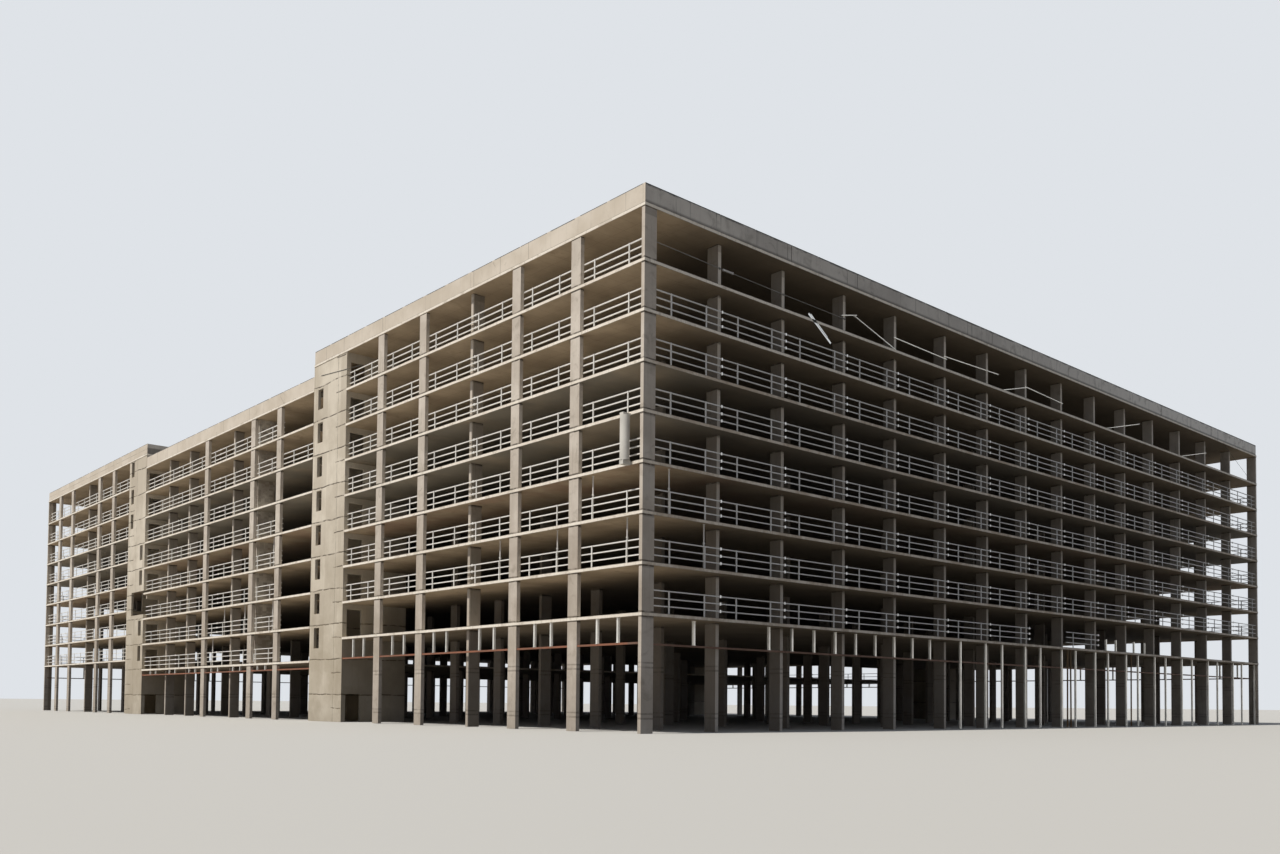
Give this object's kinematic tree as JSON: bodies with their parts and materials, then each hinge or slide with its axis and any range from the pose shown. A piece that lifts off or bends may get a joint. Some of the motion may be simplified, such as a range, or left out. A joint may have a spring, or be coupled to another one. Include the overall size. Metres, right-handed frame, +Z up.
{
  "type": "scale model of a multi storey car park",
  "caption": "Open-sided multi storey car park of bare cast concrete, with staggered floors, thin wall pylons, stair cores and railings, as a 1:10 scale model.",
  "frame": {"origin": "middle of the plan at ground level", "axes": "+Z up, +X along the front face towards its right end, +Y along the long side from the front to the back"},
  "size_m": [9.693, 13.165, 3.26],
  "materials": {
    "floor_concrete": "bare cast concrete, weathered",
    "roof_concrete": "bare cast concrete, pale",
    "parapet_concrete": "bare cast concrete, streaked",
    "pylon_concrete": "bare cast concrete",
    "core_concrete": "bare cast concrete, stained",
    "rail_steel": "dull grey paint",
    "post_steel": "dull grey paint",
    "purlin_steel": "red-brown primer",
    "white_steel": "off-white paint",
    "tube_steel": "off-white paint"
  },
  "bodies": {
    "root": {"front_floor_slabs": "floor_concrete", "front_link_slabs": "floor_concrete", "front_roof_slab": "roof_concrete", "front_parapet": "parapet_concrete", "middle_floor_slabs": "floor_concrete", "middle_roof_slab": "roof_concrete", "middle_parapet": "parapet_concrete", "rear_floor_slabs": "floor_concrete", "rear_link_slabs": "floor_concrete", "rear_roof_slab": "roof_concrete", "rear_parapet": "parapet_concrete", "front_ground_pylons": "pylon_concrete", "front_lower_pylons": "pylon_concrete", "front_upper_pylons": "pylon_concrete", "middle_ground_pylons": "pylon_concrete", "middle_lower_pylons": "pylon_concrete", "middle_upper_pylons": "pylon_concrete", "rear_ground_pylons": "pylon_concrete", "rear_lower_pylons": "pylon_concrete", "rear_upper_pylons": "pylon_concrete", "front_core_outer_strips": "core_concrete", "front_core_slit_panels": "core_concrete", "rear_core_outer_strips": "core_concrete", "rear_core_slit_panels": "core_concrete", "core_side_walls": "core_concrete", "core_door_lintels": "core_concrete", "core_inner_walls": "core_concrete", "front_rails": "rail_steel", "front_rail_posts": "post_steel", "back_rails": "rail_steel", "back_rail_posts": "post_steel", "left_rails": "rail_steel", "left_rail_posts": "post_steel", "right_rails": "rail_steel", "right_rail_posts": "post_steel", "front_hangers": "white_steel", "front_purlin": "purlin_steel", "front_tall_posts": "white_steel", "front_stub_posts": "white_steel", "back_hangers": "white_steel", "back_purlin": "purlin_steel", "back_tall_posts": "white_steel", "side_hangers": "white_steel", "side_purlins": "purlin_steel", "wall_tube": "tube_steel"}
  },
  "joints": []
}
